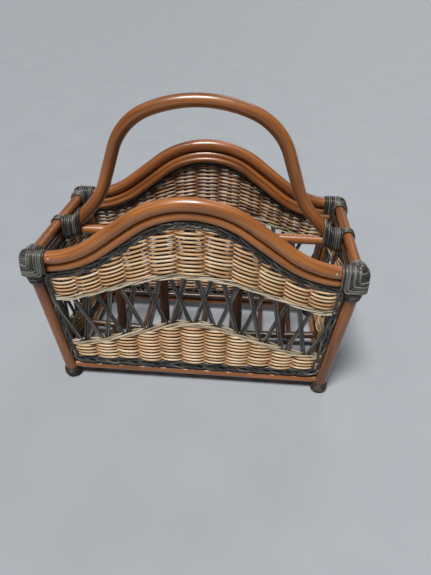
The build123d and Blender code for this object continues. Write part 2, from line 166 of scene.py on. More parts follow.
def tube_arrays(paths, radius, across, sides, closed=False):
    """Rings of path + radius * (cos(a) * near + sin(a) * far), with near at right angles to the path.

    paths is rods x points x 3; radius and across are spread to the same shape.
    """
    rods, points, _ = paths.shape
    if closed:
        tangent = unit(np.roll(paths, -1, axis=1) - np.roll(paths, 1, axis=1))
    else:
        tangent = unit(np.gradient(paths, axis=1))
    near = np.broadcast_to(across, paths.shape)
    near = unit(near - (near * tangent).sum(-1, keepdims=True) * tangent)
    far = np.cross(tangent, near)
    angle = np.arange(sides) * 2 * math.pi / sides
    ring = np.cos(angle)[:, None] * near[:, :, None, :] + np.sin(angle)[:, None] * far[:, :, None, :]
    size = np.broadcast_to(radius, (rods, points))[:, :, None, None]
    verts = paths[:, :, None, :] + size * ring

    steps = points if closed else points - 1
    rod = np.arange(rods)[:, None, None] * points * sides
    here = (np.arange(steps)[:, None] * sides)[None]
    there = ((np.arange(steps) + 1) % points)[:, None][None] * sides
    k = np.arange(sides)[None, None, :]
    k_next = (k + 1) % sides
    quads = np.stack([rod + here + k, rod + here + k_next, rod + there + k_next, rod + there + k], -1)

    beyond = paths[:, :1] if closed else paths[:, -1:]
    length = np.linalg.norm(np.diff(paths, axis=1, append=beyond), axis=-1)
    along = np.concatenate([np.zeros((rods, 1)), np.cumsum(length, axis=1)], axis=1)
    shift = RNG.uniform(0, 5, (rods, 1))
    u0 = np.broadcast_to((along[:, :steps] + shift)[:, :, None], (rods, steps, sides))
    u1 = np.broadcast_to((along[:, 1 : steps + 1] + shift)[:, :, None], (rods, steps, sides))
    turn0 = np.broadcast_to(k / sides, u0.shape)
    turn1 = turn0 + 1 / sides
    uv = np.stack([u0, turn0, u0, turn1, u1, turn1, u1, turn0], -1)
    return verts.reshape(-1, 3), quads.reshape(-1, 4), uv.reshape(-1, 2)


def end_caps(rods, points, sides):
    """One flat face across each end of each rod."""
    first = np.arange(rods)[:, None] * points * sides + np.arange(sides)[None, ::-1]
    last = (np.arange(rods)[:, None] * points + points - 1) * sides + np.arange(sides)[None]
    return np.concatenate([first, last])


# %% Domed ends
def rounded(paths, radius):
    """Paths with two more points at each end, and radii that close the ends like a dome."""
    rods, points, _ = paths.shape
    size = np.array(np.broadcast_to(radius, (rods, points)), float)
    first = unit(paths[:, 0] - paths[:, 1])
    last = unit(paths[:, -1] - paths[:, -2])
    r0, r1 = size[:, :1], size[:, -1:]
    head = [paths[:, 0] + first * r0 * f for f in (0.45, 0.2)]
    tail = [paths[:, -1] + last * r1 * f for f in (0.2, 0.45)]
    new = np.concatenate([np.stack(head, 1), paths, np.stack(tail, 1)], axis=1)
    sizes = np.concatenate([r0 * 0.5, r0 * 0.86, size, r1 * 0.86, r1 * 0.5], axis=1)
    return new, sizes


# %% From arrays to an object
def as_object(name, batches, material, replaces=()):
    """One smooth mesh from batches of (verts, faces, uv, tone with painted light and shade, painted shade of
    the recesses), riding on the rack.
    """
    faces = []
    base = 0
    for batch in batches:
        faces += [(face + base).tolist() for face in batch[1]]
        base += len(batch[0])
    verts, uvs, tones, painted_shades = [np.concatenate([batch[i] for batch in batches]) for i in (0, 2, 3, 4)]
    mesh = bpy.data.meshes.new(name)
    mesh.from_pydata(verts.tolist(), [], [row for block in faces for row in block])
    layer = mesh.uv_layers.new(name="along_round")
    layer.uv.foreach_set("vector", uvs.astype(np.float32).ravel())
    for label, values in (("tone_with_painted_light_shade", tones), ("painted_shade", painted_shades)):
        attribute = mesh.attributes.new(label, "FLOAT", "POINT")
        attribute.data.foreach_set("value", values.astype(np.float32))
    mesh.shade_smooth()
    mesh.materials.append(material)
    piece = bpy.data.objects.new(name, mesh)
    bpy.context.scene.collection.objects.link(piece)
    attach(piece, "root")
    if replaces:
        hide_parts(*replaces)
    print(name, len(mesh.polygons), "faces")
    return piece


# %% Rods
def flanks(angle):
    """Painted shade on the sides of a rod that face its neighbours in the same layer: the cube of the size of
    sin(a).
    """
    return 0.95 * np.abs(np.sin(angle)) ** 3


def rods(paths, radius, across, sides=8, closed=False, shade=0.0, painted_shade=None):
    """A batch of rods for as_object: tubes with domed ends, each with its own random tone plus painted light
    and shade by point.

    The recess amount says how far each side of a rod lies in its neighbours' shelter, and the finish paints
    shade there by it: a function of the section's angle a, or the depths (rods x points) of a weaver,
    sheltered on -depth * cos(a) and on its flanks.
    """
    paths = np.asarray(paths, float)
    if paths.ndim == 2:
        paths = paths[None]
    radius = np.asarray(radius, float)
    across = np.asarray(across, float)
    # Each rod's random tone, plus the painted light and shade passed in.
    tone_with_painted_light_shade = np.broadcast_to(RNG.uniform(0, 1, (len(paths), 1)) + shade, paths.shape[:2])
    angle = np.arange(sides) * 2 * math.pi / sides
    if callable(painted_shade):
        depth = np.broadcast_to(painted_shade(angle), (*paths.shape[:2], sides))
    elif painted_shade is None:
        depth = np.zeros((*paths.shape[:2], sides))
    else:
        # A weaver's sides that face into the weave, and its flanks, get painted shade.
        depth = np.clip(-painted_shade[:, :, None] * np.cos(angle), 0, 1)
        depth = np.maximum(depth, flanks(angle) * 0.75)
    if not closed:
        paths, radius = rounded(paths, radius)
        tone_with_painted_light_shade = np.pad(tone_with_painted_light_shade, ((0, 0), (2, 2)), "edge")
        depth = np.pad(depth, ((0, 0), (2, 2), (0, 0)), "edge")
    count, points, _ = paths.shape
    verts, quads, uv = tube_arrays(paths, radius, across, sides, closed)
    faces = [quads]
    if not closed:
        caps = end_caps(count, points, sides)
        faces.append(caps)
        cap_uv = np.repeat(RNG.uniform(0, 5, (len(caps), 1)), sides, axis=0)
        uv = np.concatenate([uv, np.concatenate([cap_uv, np.full_like(cap_uv, 0.3)], axis=1)])
    return verts, faces, uv, np.repeat(tone_with_painted_light_shade.ravel(), sides), depth.ravel()


# %% Even spacing
def run_of(line):
    """The distance along a line to each of its points."""
    return np.concatenate([[0], np.cumsum(np.linalg.norm(np.diff(line, axis=0), axis=1))])


def resampled(line, count, closed=False):
    """A line with exactly count points, spaced evenly along it; a closed line ends where it starts."""
    line = np.asarray(line, float)
    if closed:
        line = np.concatenate([line, line[:1]])
    run = run_of(line)
    at = np.linspace(0, run[-1], count, endpoint=not closed)
    return np.stack([np.interp(at, run, column) for column in line.T], axis=1)


def evenly(line, step):
    """A line with its points spaced evenly by about step along it."""
    return resampled(line, max(int(round(run_of(line)[-1] / step)) + 1, 3))


# %% [markdown]
# ## Finishes
# Rattan and its peeled core differ in colour but share their structure: fine fibres that run the length
# of the rod. A pattern stretched along the rod needs to know the rod's direction, so the groups read the
# UV: metres along, turn round. Taking the cosine and sine of the turn closes the pattern with no seam.


# %% Node helpers
def group_tree(name, inputs, outputs):
    """A new shader node group with its sockets; returns the tree, its input node and output node."""
    tree = bpy.data.node_groups.new(name, "ShaderNodeTree")
    for label, kind, value in inputs:
        socket = tree.interface.new_socket(name=label, in_out="INPUT", socket_type=kind)
        if value is not None:
            socket.default_value = value
    for label, kind in outputs:
        tree.interface.new_socket(name=label, in_out="OUTPUT", socket_type=kind)
    return tree, tree.nodes.new("NodeGroupInput"), tree.nodes.new("NodeGroupOutput")


def node(tree, kind, links=(), **settings):
    """A node with settings, and links given as (input, source socket or value)."""
    made = tree.nodes.new(kind)
    for key, value in settings.items():
        setattr(made, key, value)
    for key, source in links:
        if isinstance(source, bpy.types.NodeSocket):
            tree.links.new(source, made.inputs[key])
        else:
            made.inputs[key].default_value = source
    return made


def math_node(tree, operation, a, b=0.0, clamp=False):
    """The result socket of a Math node."""
    made = node(tree, "ShaderNodeMath", [(0, a), (1, b)], operation=operation, use_clamp=clamp)
    return made.outputs[0]


def mixed(tree, factor, a, b, blend="MIX"):
    """The colour socket of a Mix node."""
    made = node(tree, "ShaderNodeMix", data_type="RGBA", blend_type=blend)
    for socket, source in zip((made.inputs[0], made.inputs[6], made.inputs[7]), (factor, a, b)):
        if isinstance(source, bpy.types.NodeSocket):
            tree.links.new(source, socket)
        else:
            socket.default_value = source
    return made.outputs[2]


def ramp(tree, factor, stops):
    """A colour ramp's colour socket; stops are (position, colour)."""
    made = node(tree, "ShaderNodeValToRGB", [(0, factor)])
    elements = made.color_ramp.elements
    while len(elements) < len(stops):
        elements.new(0.5)
    for element, (position, colour) in zip(elements, stops):
        element.position = position
        element.color = (*colour, 1.0)
    return made.outputs[0]


# %% Shared pattern: fibres
def fibre_group():
    """Noise stretched along a rod: fine fibres, slower patches along it, and a value for each rod, with its
    painted light and shade, and the painted shade of its sheltered sides.
    """
    inputs = [
        ("Fibre Length", "NodeSocketFloat", 30.0),
        ("Fibre Count", "NodeSocketFloat", 6.0),
        ("Patch Scale", "NodeSocketFloat", 25.0),
    ]
    outputs = [(label, "NodeSocketFloat") for label in ("Fibres", "Patches", "Tone", "Recess")]
    tree, entry, leave = group_tree("rod_fibres", inputs, outputs)
    uv = node(tree, "ShaderNodeUVMap", uv_map="along_round").outputs[0]
    parts = node(tree, "ShaderNodeSeparateXYZ", [(0, uv)]).outputs
    turn = math_node(tree, "MULTIPLY", parts[1], 2 * math.pi)
    cosine = math_node(tree, "COSINE", turn)
    sine = math_node(tree, "SINE", turn)
    tone_with_painted_light_shade = node(tree, "ShaderNodeAttribute", attribute_name="tone_with_painted_light_shade").outputs["Fac"]
    painted_shade = node(tree, "ShaderNodeAttribute", attribute_name="painted_shade").outputs["Fac"]

    def noise(along_scale, round_scale, detail):
        along = math_node(tree, "MULTIPLY", parts[0], along_scale)
        across = math_node(tree, "MULTIPLY", cosine, round_scale)
        round_ = math_node(tree, "MULTIPLY", sine, round_scale)
        place = node(tree, "ShaderNodeCombineXYZ", [(0, along), (1, across), (2, round_)]).outputs[0]
        links = [("Vector", place), ("Scale", 1.0), ("Detail", detail), ("Roughness", 0.6)]
        return node(tree, "ShaderNodeTexNoise", links).outputs[0]

    tree.links.new(noise(entry.outputs[0], entry.outputs[1], 4.0), leave.inputs[0])
    tree.links.new(noise(entry.outputs[2], 0.7, 2.0), leave.inputs[1])
    tree.links.new(tone_with_painted_light_shade, leave.inputs[2])
    tree.links.new(painted_shade, leave.inputs[3])
    return tree


FIBRES = fibre_group()


# %% Shared pattern: handling marks and dust
def wear_group():
    """Small rubbed spots in rack space, and a thin dust where the surface faces up."""
    inputs = [("Spot Scale", "NodeSocketFloat", 160.0), ("Amount", "NodeSocketFloat", 0.5)]
    outputs = [("Rubbed", "NodeSocketFloat"), ("Dust", "NodeSocketFloat")]
    tree, entry, leave = group_tree("rubbed_and_dusty", inputs, outputs)
    place = node(tree, "ShaderNodeTexCoord").outputs["Object"]
    links = [("Vector", place), ("Scale", entry.outputs[0]), ("Detail", 3.0), ("Roughness", 0.7)]
    spots = node(tree, "ShaderNodeTexNoise", links).outputs[0]
    links = [("Vector", place), ("Scale", 14.0), ("Detail", 2.0)]
    wide = node(tree, "ShaderNodeTexNoise", links).outputs[0]
    both = math_node(tree, "ADD", spots, math_node(tree, "MULTIPLY", wide, 0.6))
    peak = math_node(tree, "MULTIPLY", math_node(tree, "SUBTRACT", both, 0.92), 6.0, clamp=True)
    tree.links.new(math_node(tree, "MULTIPLY", peak, entry.outputs[1]), leave.inputs[0])
    normal = node(tree, "ShaderNodeNewGeometry").outputs["Normal"]
    facing = node(tree, "ShaderNodeSeparateXYZ", [(0, normal)]).outputs[2]
    dust = math_node(tree, "MULTIPLY", math_node(tree, "POWER", facing, 3.0, clamp=True), wide, clamp=True)
    tree.links.new(dust, leave.inputs[1])
    return tree


WEAR = wear_group()
print("groups:", FIBRES.name, WEAR.name)


# %% Material builder
def finish_of(name, stops, fibres, roughness, bump, coat=0.0, rubbed=None, tone_share=0.5, dark=None):
    """A rod's finish: colour from fibres, patches and tone with painted light and shade, rubbed spots, dust,
    painted shade in the recesses, and fibre bump.
    """
    material = bpy.data.materials.new(name)
    material.use_nodes = True
    tree = material.node_tree
    shader = tree.nodes["Principled BSDF"]
    pattern = node(tree, "ShaderNodeGroup", node_tree=FIBRES)
    for socket, value in zip(pattern.inputs, fibres):
        socket.default_value = value
    wear = node(tree, "ShaderNodeGroup", node_tree=WEAR)
    wear.inputs[1].default_value = rubbed[1] if rubbed else 0.0
    fine, patches, tone_with_painted_light_shade, painted_shade = pattern.outputs
    # factor = 0.5 + fibres + patches + tone, each about its middle
    part_a = math_node(tree, "MULTIPLY", math_node(tree, "SUBTRACT", fine, 0.5), 1.1)
    part_b = math_node(tree, "MULTIPLY", math_node(tree, "SUBTRACT", patches, 0.5), 0.9)
    part_c = math_node(tree, "MULTIPLY", math_node(tree, "SUBTRACT", tone_with_painted_light_shade, 0.5), tone_share)
    total = math_node(tree, "ADD", math_node(tree, "ADD", part_a, part_b), part_c)
    factor = math_node(tree, "ADD", total, 0.5, clamp=True)
    colour = ramp(tree, factor, stops)
    if dark:
        streak = math_node(tree, "MULTIPLY", math_node(tree, "SUBTRACT", 0.42, fine), 7.0, clamp=True)
        colour = mixed(tree, math_node(tree, "MULTIPLY", streak, dark[1]), colour, (*dark[0], 1.0))
    if rubbed:
        colour = mixed(tree, wear.outputs[0], colour, (*rubbed[0], 1.0))
    dust = math_node(tree, "MULTIPLY", wear.outputs[1], 0.10)
    colour = mixed(tree, dust, colour, (0.42, 0.40, 0.37, 1.0))
    # Painted shade: sheltered sides are mixed towards near black by the recess amount.
    painted_shade_amount = math_node(tree, "MULTIPLY", painted_shade, 0.93, clamp=True)
    colour = mixed(tree, painted_shade_amount, colour, (0.020, 0.012, 0.007, 1.0))
    tree.links.new(colour, shader.inputs["Base Color"])
    uneven = math_node(tree, "MULTIPLY", math_node(tree, "SUBTRACT", patches, 0.5), 0.3)
    tree.links.new(math_node(tree, "ADD", uneven, roughness, clamp=True), shader.inputs["Roughness"])
    shader.inputs["Coat Weight"].default_value = coat
    shader.inputs["Coat Roughness"].default_value = 0.18
    relief = node(tree, "ShaderNodeBump", [("Height", fine), ("Strength", bump[0]), ("Distance", bump[1])])
    tree.links.new(relief.outputs[0], shader.inputs["Normal"])
    return material


# %% [markdown]
# The poles are stained orange-brown and lacquered, so they get a coat layer and keep a soft gloss. The
# weavers are peeled core: pale, with little gloss and uneven from rod to rod. The black rods are the same
# core, dyed, and the dye has rubbed through in spots. Every finish takes the same few steps, with its own
# numbers: colour stops, fibre scales, roughness, bump, coat, rubbed spots and dark streaks.

# %% The finishes of the rack
POLE = finish_of(
    "lacquered_rattan",
    [(0.0, (0.085, 0.025, 0.007)), (0.45, (0.29, 0.094, 0.020)), (1.0, (0.58, 0.21, 0.05))],
    (7.0, 6.0, 11.0),
    0.36,
    (0.25, 0.0004),
    coat=0.6,
    dark=((0.06, 0.017, 0.006), 0.5),
    tone_share=0.2,
)
# The same rattan made darker: painted shade for the poles inside the rack.
SHADED_POLE = finish_of(
    "rattan_painted_inner_shade",
    [(0.0, (0.024, 0.008, 0.003)), (0.5, (0.075, 0.025, 0.008)), (1.0, (0.16, 0.062, 0.020))],
    (7.0, 6.0, 11.0),
    0.42,
    (0.25, 0.0004),
    coat=0.35,
    dark=((0.03, 0.010, 0.004), 0.5),
    tone_share=0.2,
)
CORE = finish_of(
    "peeled_core",
    [(0.0, (0.23, 0.086, 0.027)), (0.5, (0.78, 0.445, 0.20)), (1.0, (0.98, 0.76, 0.49))],
    (40.0, 1.6, 30.0),
    0.42,
    (0.3, 0.0002),
    coat=0.35,
    tone_share=0.5,
)
TWINE = finish_of(
    "straw_twine",
    [(0.0, (0.22, 0.15, 0.08)), (0.5, (0.63, 0.50, 0.33)), (1.0, (0.88, 0.77, 0.59))],
    (40.0, 1.6, 30.0),
    0.5,
    (0.3, 0.0002),
    coat=0.05,
    tone_share=0.7,
)
DYED = finish_of(
    "dyed_core",
    [(0.0, (0.007, 0.007, 0.007)), (0.5, (0.030, 0.031, 0.029)), (1.0, (0.24, 0.235, 0.21))],
    (30.0, 1.8, 45.0),
    0.36,
    (0.35, 0.0002),
    coat=0.5,
    rubbed=((0.34, 0.29, 0.22), 0.5),
    tone_share=0.5,
)
STRAND = finish_of(
    "binding_strand",
    [(0.0, (0.008, 0.008, 0.007)), (0.5, (0.052, 0.050, 0.045)), (1.0, (0.26, 0.25, 0.22))],
    (40.0, 1.6, 40.0),
    0.42,
    (0.3, 0.0002),
    coat=0.12,
    rubbed=((0.26, 0.22, 0.17), 0.3),
    tone_share=0.6,
)
FOOT = finish_of(
    "foot_strand",
    [(0.0, (0.006, 0.004, 0.002)), (0.5, (0.017, 0.012, 0.006)), (1.0, (0.065, 0.048, 0.028))],
    (40.0, 1.6, 40.0),
    0.5,
    (0.3, 0.0002),
    coat=0.1,
    rubbed=((0.30, 0.24, 0.15), 0.4),
    tone_share=0.6,
)
print("finishes:", [m.name for m in (POLE, CORE, TWINE, DYED, STRAND, FOOT)])

# %% [markdown]
# ## Camera, floor and light
# The camera comes first, so that every later piece can be judged from the real point of view. It stands a
# little above the rack and looks down at it. A large pale floor, two soft suns like distant windows and a
# dim sky are all the studio there is. Only the camera sees the sky bright, so the rack's inside stays dark.

# %% Camera
CAMERA_AT = (0.0804, -0.7190, 0.5758)
CAMERA_DOWN = 32.51  # degrees below the horizon
CAMERA_TURN = 4.39
CAMERA_ROLL = 0.74
LENS_MM = 31.6

camera_data = bpy.data.cameras.new("camera")
camera_data.sensor_fit = "VERTICAL"
camera_data.sensor_height = 36.0
camera_data.sensor_width = 36.0
camera_data.lens = LENS_MM
camera = bpy.data.objects.new("camera", camera_data)
bpy.context.scene.collection.objects.link(camera)
aim = Matrix.Rotation(math.radians(CAMERA_TURN), 4, "Z")
aim = aim @ Matrix.Rotation(math.radians(90 - CAMERA_DOWN), 4, "X")
aim = aim @ Matrix.Rotation(math.radians(CAMERA_ROLL), 4, "Z")
camera.matrix_world = Matrix.Translation(CAMERA_AT) @ aim
bpy.context.scene.camera = camera
print("camera", CAMERA_AT, "lens", LENS_MM, "mm")


# %% Floor
def stone_floor():
    """A pale matt floor with faint cloudy patches."""
    material = bpy.data.materials.new("pale_floor")
    material.use_nodes = True
    tree = material.node_tree
    place = node(tree, "ShaderNodeTexCoord").outputs["Object"]
    links = [("Vector", place), ("Scale", 7.0), ("Detail", 6.0)]
    cloud = node(tree, "ShaderNodeTexNoise", links).outputs[0]
    colour = ramp(tree, cloud, [(0.3, (0.355, 0.38, 0.415)), (0.7, (0.38, 0.405, 0.44))])
    tree.links.new(colour, tree.nodes["Principled BSDF"].inputs["Base Color"])
    tree.nodes["Principled BSDF"].inputs["Roughness"].default_value = 0.55
    return material


FLOOR_HALF_SIZE = 40.0
floor_mesh = bpy.data.meshes.new("floor")
corner = np.array([[-1, -1, 0], [1, -1, 0], [1, 1, 0], [-1, 1, 0]]) * FLOOR_HALF_SIZE
floor_mesh.from_pydata(corner.tolist(), [], [(0, 1, 2, 3)])
floor_mesh.materials.append(stone_floor())
floor = bpy.data.objects.new("floor", floor_mesh)
bpy.context.scene.collection.objects.link(floor)
print("floor", 2 * FLOOR_HALF_SIZE, "m across")


# %% Lamps
def sun(name, height, bearing, strength, spread, colour):
    """A soft sun: height above the floor and bearing from +Y towards +X, in degrees, and its spread."""
    data = bpy.data.lights.new(name, "SUN")
    data.energy = strength
    data.angle = math.radians(spread)
    data.color = colour
    made = bpy.data.objects.new(name, data)
    bpy.context.scene.collection.objects.link(made)
    made.rotation_euler = (math.radians(90 - height), 0, math.radians(180 - bearing))
    return made


sun("window", 65, 198, 3.7, 18, (1.0, 0.99, 0.97))
sun("second_window", 42, 15, 0.3, 20, (0.97, 0.98, 1.0))

world = bpy.data.worlds.new("studio")
world.use_nodes = True
sky = world.node_tree.nodes["Background"]
sky.inputs[0].default_value = (0.80, 0.84, 0.88, 1.0)
SKY_LIGHT = 0.08
SKY_SEEN = 0.56  # more, where the camera looks straight at it
seen = node(world.node_tree, "ShaderNodeLightPath").outputs["Is Camera Ray"]
extra = math_node(world.node_tree, "MULTIPLY", seen, SKY_SEEN)
world.node_tree.links.new(math_node(world.node_tree, "ADD", extra, SKY_LIGHT), sky.inputs[1])
bpy.context.scene.world = world
bpy.context.scene.view_settings.view_transform = "Standard"
print("lamps:", [lamp.name for lamp in bpy.data.lights])

# %% [markdown]
# ## Poles
# A rattan pole is never quite round or even: every hand's breadth it has a joint, where the stem swells
# slightly and a scar runs round it. So each pole's radius gets slow waves and small ridges at its joints.


# %% A pole
def pole_batch(points, radius, across, joint_every=0.21, sides=20, step=0.004, shade=0.0):
    """A pole along points: radius * (1 + slow wave + a narrow ridge at every joint)."""
    line = evenly(points, step)
    along = np.arange(len(line)) * step
    first = RNG.uniform(0.2, 0.8) * joint_every
    from_joint = (along - first + joint_every / 2) % joint_every - joint_every / 2
    swelling = 0.035 * np.exp(-((from_joint / 0.0022) ** 2))
    ridge = swelling - 0.02 * np.exp(-(((from_joint - 0.005) / 0.003) ** 2))
    slow = 0.012 * np.sin(along * 31 + RNG.uniform(0, 6)) + 0.008 * np.sin(along * 83 + RNG.uniform(0, 6))
    return rods(line, radius * (1 + ridge + slow), across, sides=sides, shade=shade)


def straight(start, end):
    """A straight line as two points."""
    return np.array([start, end], float)


def post_axis(sign_x, sign_y, z):
    """The point at height z on a post's leaning axis."""
    half = FLOOR_HALF + SLOPES * z
    return np.array([sign_x * half[0], sign_y * half[1], z])


def make_poles(name, lines, radius, across, replaces, finish=POLE, **shape):
    """One object of one or more poles."""
    batches = [pole_batch(line, radius, across, **shape) for line in lines]
    return as_object(name, batches, finish, replaces)


# %% Side frames
SIDE_SIGNS = {"front": -1, "back": 1}
END_SIGNS = {"left": -1, "right": 1}
POLE_END = CORNER_HALF[0] - 0.002


def humped(side, drop, inset, half_length):
    """A line along the hump: height(u) moved in by drop, set inside the panel's plane by inset."""
    u = np.linspace(-half_length, half_length, 241)
    return lay(side, u, height(SIDE_HUMP, u, drop), -inset)


for side in SIDE_SIGNS:
    out = BOARDS[side][3]
    # The front side's poles get painted light and the back side's painted shade, through their tone.
    pole_painted_light_shade = {"shade": -0.8 if side == "back" else 0.8}
    line = humped(side, 0, 0, POLE_END)
    make_poles(f"{side}_humped_top_pole", [line], TOP_POLE_R, out, [f"{side}_top_pole"], sides=24, **pole_painted_light_shade)
    line = humped(side, SECOND_DROP, 0, CORNER_HALF[0] - 0.004)
    make_poles(f"{side}_humped_second_pole", [line], SECOND_POLE_R, out, [f"{side}_second_pole"], **pole_painted_light_shade)
    line = humped(side, INNER_DROP, INNER_INSET, 0.2155)
    node_name = f"{side}_inner_top_pole"
    make_poles(f"{side}_humped_inner_pole", [line], INNER_POLE_R, out, [node_name], sides=14, **pole_painted_light_shade)
    line = lay(side, np.array([-0.199, 0.199]), BOTTOM_POLE_Z, -0.003)
    make_poles(f"{side}_bottom_pole", [line], BOTTOM_POLE_R, out, [f"{side}_bottom_rail"], sides=16)
    line = lay(side, np.array([-0.193, 0.193]), 0.033, -INNER_INSET)
    node_name = f"{side}_inner_bottom_pole"
    make_poles(f"{side}_inner_lower_pole", [line], INNER_POLE_R, out, [node_name], SHADED_POLE, sides=14)

# %% Posts and thin uprights
SIDEWAYS = (0, 1, 0)
UPWARDS = (0, 0, 1)
for side, sign_y in SIDE_SIGNS.items():
    for end, sign_x in END_SIGNS.items():
        line = straight(post_axis(sign_x, sign_y, 0.006), post_axis(sign_x, sign_y, 0.222))
        name = f"{side}_{end}"
        # The corner posts are darkened by painted shade.
        make_poles(f"{name}_corner_post", [line], POST_R, SIDEWAYS, [f"{name}_post"], shade=-0.9)

UPRIGHT_V = np.array([0.026, 0.202])
uprights = []
for side in SIDE_SIGNS:
    for sign in (-1, 1):
        uprights.append(lay(side, sign * (0.18575 + SLOPES[0] * UPRIGHT_V), UPRIGHT_V, -INNER_INSET))
replaced = ["inner_side_poles"]
make_poles("thin_inner_uprights", uprights, INNER_POLE_R, SIDEWAYS, replaced, SHADED_POLE, sides=14)


# %% End frames
def across_end(x, z, reach):
    """A level line along Y at x and z, from -reach to reach."""
    return straight((x, -reach, z), (x, reach, z))


for end, sign in END_SIGNS.items():
    line = across_end(sign * CORNER_HALF[0], CORNER_Z, 0.1175)
    make_poles(f"{end}_end_top_pole", [line], END_TOP_R, UPWARDS, [f"{end}_end_rail"])
    line = across_end(sign * END_SECOND_X, END_SECOND_Z, 0.1175 * 0.95)
    replaced = [f"{end}_end_second_rail"]
    make_poles(f"{end}_end_second_pole", [line], END_SECOND_R, UPWARDS, replaced, SHADED_POLE)
    line = across_end(sign * 0.2031, 0.0199, 0.1)
    make_poles(f"{end}_end_bottom_pole", [line], BOTTOM_POLE_R, UPWARDS, [f"{end}_bottom_rail"], sides=16)

# %% [markdown]
# ## Divider and handle
# The middle of the rack is a ladder: a rail along the top, a bowed bar along the bottom, four uprights and
# seven thin poles that carry the magazines. The handle is one long pole bent over a form: a wide crown, two
# tighter shoulders, straight sides and a last bend outwards to its feet, each arc tangent to the next.

# %% Divider
RAIL_END = 0.2215
line = straight((-RAIL_END, 0, MID_RAIL_Z), (RAIL_END, 0, MID_RAIL_Z))
make_poles("divider_top_rail", [line], MID_RAIL_R, UPWARDS, ["mid_rail"])
BAR_HALF = 0.2
bar_x = np.linspace(-BAR_HALF, BAR_HALF, 61)
line = np.stack([bar_x, 0 * bar_x, BOTTOM_POLE_Z + 0.008 * (bar_x / BAR_HALF) ** 2], axis=1)
make_poles("divider_lower_bar", [line], 0.00625, SIDEWAYS, ["divider_bottom_bar"], SHADED_POLE, sides=16)
DIVIDER_X = {"left_outer": -0.141, "left_inner": -0.0635, "right_inner": 0.0635, "right_outer": 0.141}
for name, x in DIVIDER_X.items():
    line = straight((x, 0, 0.022), (x, 0, MID_RAIL_Z))
    make_poles(f"{name}_divider_upright", [line], DIVIDER_R, SIDEWAYS, [f"{name}_divider_post"], SHADED_POLE)
crossing = [straight((x, -0.1, 0.018), (x, 0.1, 0.018)) for x in np.arange(-3, 4) * 0.0525]
replaced = ["bottom_cross_poles"]
make_poles("pocket_floor_poles", crossing, CROSS_POLE_R, UPWARDS, replaced, SHADED_POLE, sides=12)


# %% Handle
def bent(start, heading, steps, spacing=0.002):
    """A flat line of straight runs (length,) and tangent arcs (radius, turn in degrees)."""
    heading = math.radians(heading)
    x, z = start
    found = [np.array([[x, z]])]
    for step in steps:
        if len(step) == 1:
            t = np.arange(spacing, step[0], spacing)
            new = np.stack([x + t * math.cos(heading), z + t * math.sin(heading)], axis=1)
            x += step[0] * math.cos(heading)
            z += step[0] * math.sin(heading)
        else:
            radius, turn = step[0], math.radians(step[1])
            side = math.copysign(1, turn)
            centre = (x - side * radius * math.sin(heading), z + side * radius * math.cos(heading))
            count = max(int(radius * abs(turn) / spacing), 4)
            angle = np.linspace(0, turn, count)[1:] + heading - side * math.pi / 2
            new = np.stack([centre[0] + radius * np.cos(angle), centre[1] + radius * np.sin(angle)], axis=1)
            x, z = new[-1]
            heading += turn
        found.append(new)
    return np.concatenate(found)


HANDLE_APEX = 0.420
climb = [(0.052,), (0.110, 24.0), (0.055,), (0.095, -49.0)]
profile = bent((0.0, 0.0), 47.0, climb + [(0.200, -44.0)] + climb[::-1])
profile[:, 0] -= (profile[0, 0] + profile[-1, 0]) / 2
profile[:, 1] += HANDLE_APEX - profile[:, 1].max()
HANDLE_LINE = np.stack([profile[:, 0], 0 * profile[:, 0], profile[:, 1]], axis=1)
make_poles("arched_handle", [HANDLE_LINE], HANDLE_R, SIDEWAYS, ["handle"], joint_every=0.26, sides=24)
print("handle feet at x", round(HANDLE_LINE[0, 0], 4), "z", round(HANDLE_LINE[0, 2], 4))

# %% [markdown]
# ## The woven panels
# Each panel is laid out by its stakes, which spread with the panel: the distance from stake to stake grows
# with the width. A "bay" number k says where a point is between the stakes, whatever the height, so weaving
# in k keeps every crossing where it belongs. A panel's "depth" says how far its weavers pass in front of and
# behind the stakes, its painted light and shade how much lighter they are painted (below zero: darker, as in
# shade), and "apart" how far the two pairs of rods in a stake of the upper weave stay from its middle.

# %% What each panel is made of
BRAID_WIDTH = 0.011
BRAID_LOW = 0.028
BRAID_LOW_WIDTH = 0.018
TWINE_WIDTH = 0.008
PANELS = {}
for name in ("front", "back"):
    PANELS[name] = {
        "top": SIDE_HUMP,
        "drop": SECOND_DROP + SECOND_POLE_R,
        "upper": UPPER_ARCH,
        "lower": LOWER_ARCH,
        "half": FLOOR_HALF[0] - POST_R,
        "slope": SLOPES[0],
        "bays": 5.8,
        "stakes": 5,
        "depth": 0.0044 if name == "front" else 0.0027,
        # Painted shade darkens the back panel's weavers; the front's get a little painted light.
        "shade": 0.1 if name == "front" else -0.6,
        "apart": 0.0038 if name == "front" else 0.0,
    }
for name in ("left", "right"):
    PANELS[name] = {
        "top": END_TOP,
        "drop": 0.0,
        "upper": END_UPPER,
        "lower": END_LOWER,
        "half": FLOOR_HALF[1] - POST_R,
        "slope": SLOPES[1],
        "bays": 2.75,
        "stakes": 2,
        "depth": 0.0036,
        "shade": 0.0,
        "apart": 0.0,
    }


def half_width(panel, v):
    """Half the width between the posts at height v."""
    return panel["half"] + panel["slope"] * np.asarray(v)


def bay(panel, v):
    """The distance from stake to stake at height v."""
    return half_width(panel, v) / panel["bays"]


def top_edge(panel, u, inside=0.0):
    """The panel's upper edge, moved in by inside."""
    return height(panel["top"], u, panel["drop"] + inside)


# %% [markdown]
# ### Weavers
# One weaver passes in front of a stake and behind the next, and the row above does the opposite. In front
# and behind it lies flat against the stake, so its depth is a wave with flattened crests. The rows of the
# upper band run parallel to the arch; those of the lower band are level, and the arch cuts them off.

# %% Weaver rows
WEAVER_R = 0.0019
ROW_PITCH = 0.0032
FLATNESS = 1.15


